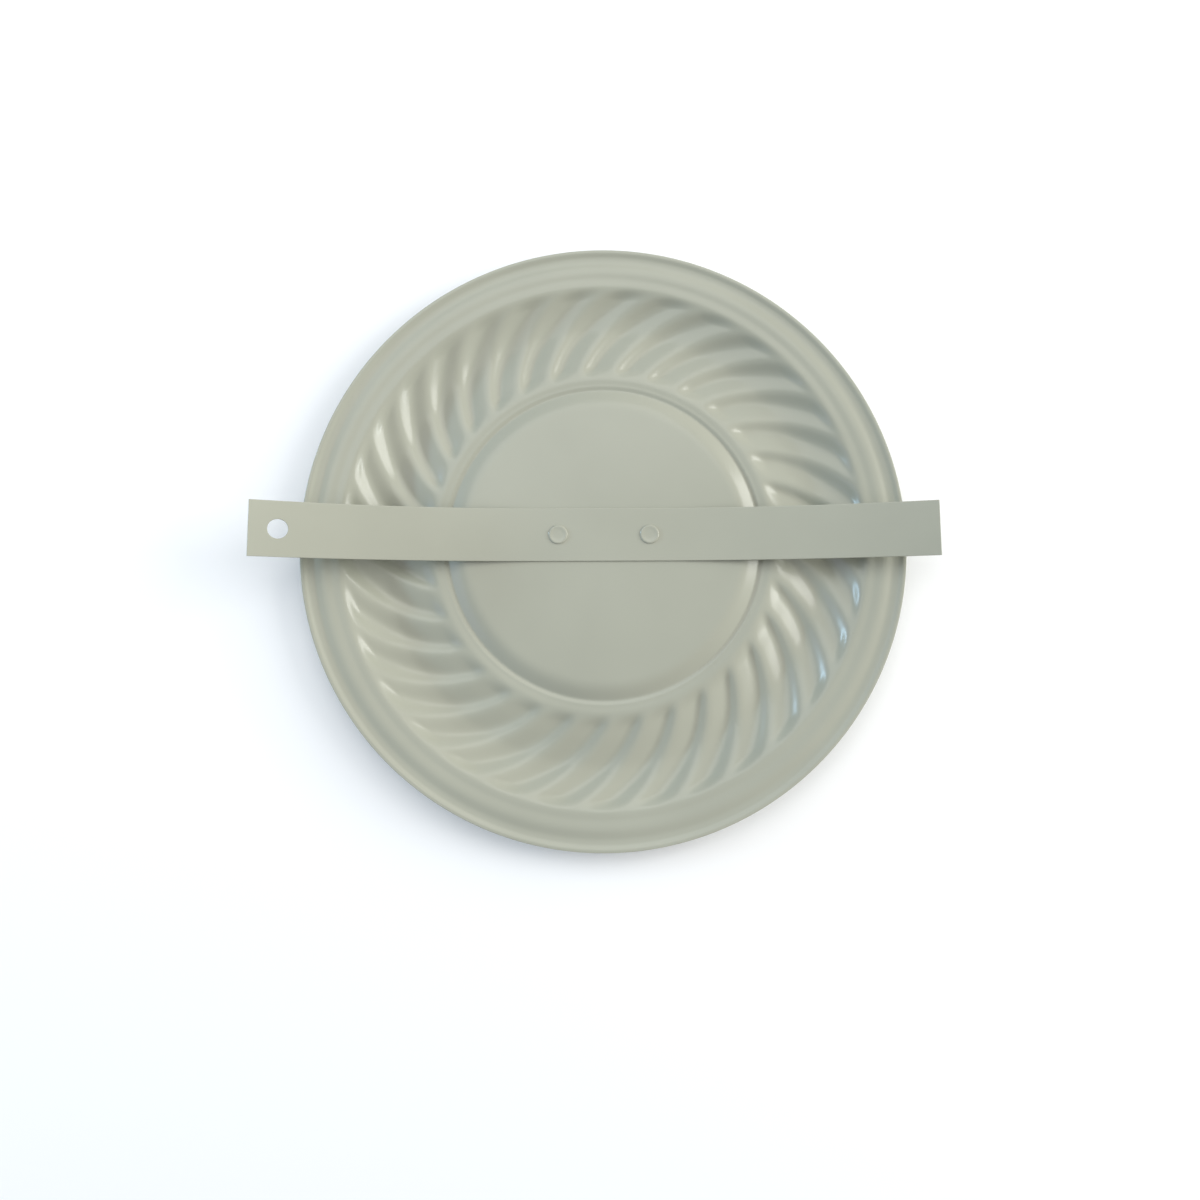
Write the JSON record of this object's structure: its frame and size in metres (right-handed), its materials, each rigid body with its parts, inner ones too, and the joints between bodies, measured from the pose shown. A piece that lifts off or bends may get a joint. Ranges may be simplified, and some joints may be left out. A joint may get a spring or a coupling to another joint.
{
  "type": "stove-pipe hole cover plate",
  "caption": "Round stamped steel cover for an unused stove-pipe or vent hole, with swirled flutes and a riveted spring strap across its back.",
  "frame": {"origin": "on the plate's axis, in the plane of the rim's back edge, which meets the wall", "axes": "+Z out of the back, into the pipe; +X along the strap, away from its hang hole; the part lies face down"},
  "size_m": [0.2179, 0.2, 0.0261],
  "materials": {
    "plate_paint": "smooth gloss enamel",
    "strap_paint": "smooth gloss enamel",
    "rivet_paint": "smooth gloss enamel"
  },
  "bodies": {
    "root": {"cover_plate": "plate_paint", "strap_middle": "strap_paint", "rivet_left": "rivet_paint", "rivet_right": "rivet_paint"},
    "left_arm": {"strap_left_arm": "strap_paint"},
    "right_arm": {"strap_right_arm": "strap_paint"}
  },
  "joints": [
    {"name": "left_arm_flex", "type": "hinge", "parent": "root", "child": "left_arm", "pos_m": [-0.03274, 0.00241, -0.00277], "axis": [-0.0042, 1, 0], "range_deg": [-5, 50], "stiffness_Nm_per_rad": 1.51},
    {"name": "right_arm_flex", "type": "hinge", "parent": "root", "child": "right_arm", "pos_m": [0.03203, 0.00268, -0.00292], "axis": [0.0042, -1, 0], "range_deg": [-3, 50], "stiffness_Nm_per_rad": 1.59}
  ]
}
